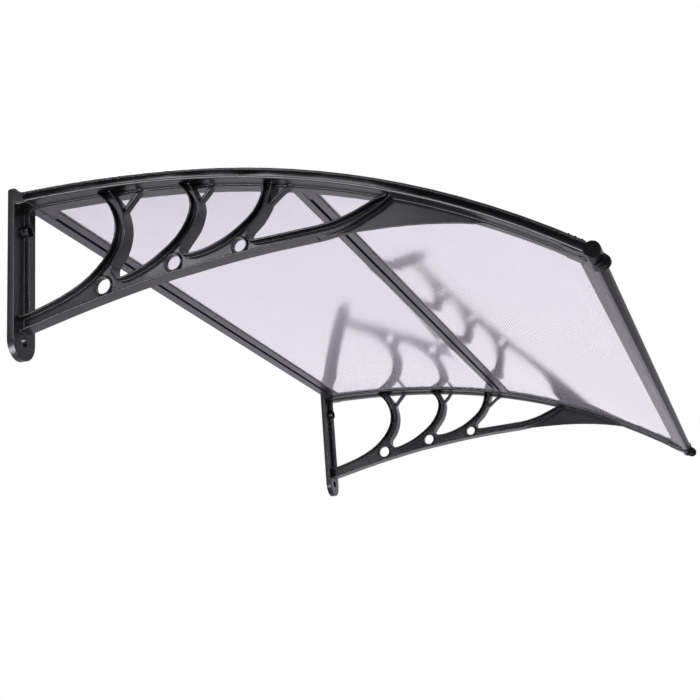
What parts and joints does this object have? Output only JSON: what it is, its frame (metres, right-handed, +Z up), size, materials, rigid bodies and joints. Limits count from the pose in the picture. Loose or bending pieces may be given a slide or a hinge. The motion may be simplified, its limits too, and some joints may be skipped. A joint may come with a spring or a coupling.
{
  "type": "door canopy",
  "caption": "Curved twin-wall plastic door canopy on openwork wall brackets, with cross rails and cover strips.",
  "frame": {"origin": "on the wall plane, midway between the brackets, level with their upper fixing holes", "axes": "+X along the wall from the left bracket to the right one, +Y into the wall, +Z up"},
  "size_m": [1.1994, 0.7462, 0.2448],
  "materials": {
    "bracket": "satin black",
    "strip": "satin black",
    "sheet": "clear and glossy",
    "rail": "satin",
    "seal": "matte",
    "screw": "plain"
  },
  "bodies": {
    "root": {"left_bracket": "bracket", "right_bracket": "bracket", "left_cover_strip": "strip", "right_cover_strip": "strip", "rear_panel": "sheet", "front_panel": "sheet", "rear_rail": "rail", "middle_rail": "rail", "front_rail": "rail", "wall_seal": "seal", "left_screw_1": "screw", "left_screw_2": "screw", "left_screw_3": "screw", "left_screw_4": "screw", "left_screw_5": "screw", "right_screw_1": "screw", "right_screw_2": "screw", "right_screw_3": "screw", "right_screw_4": "screw", "right_screw_5": "screw"}
  },
  "joints": []
}
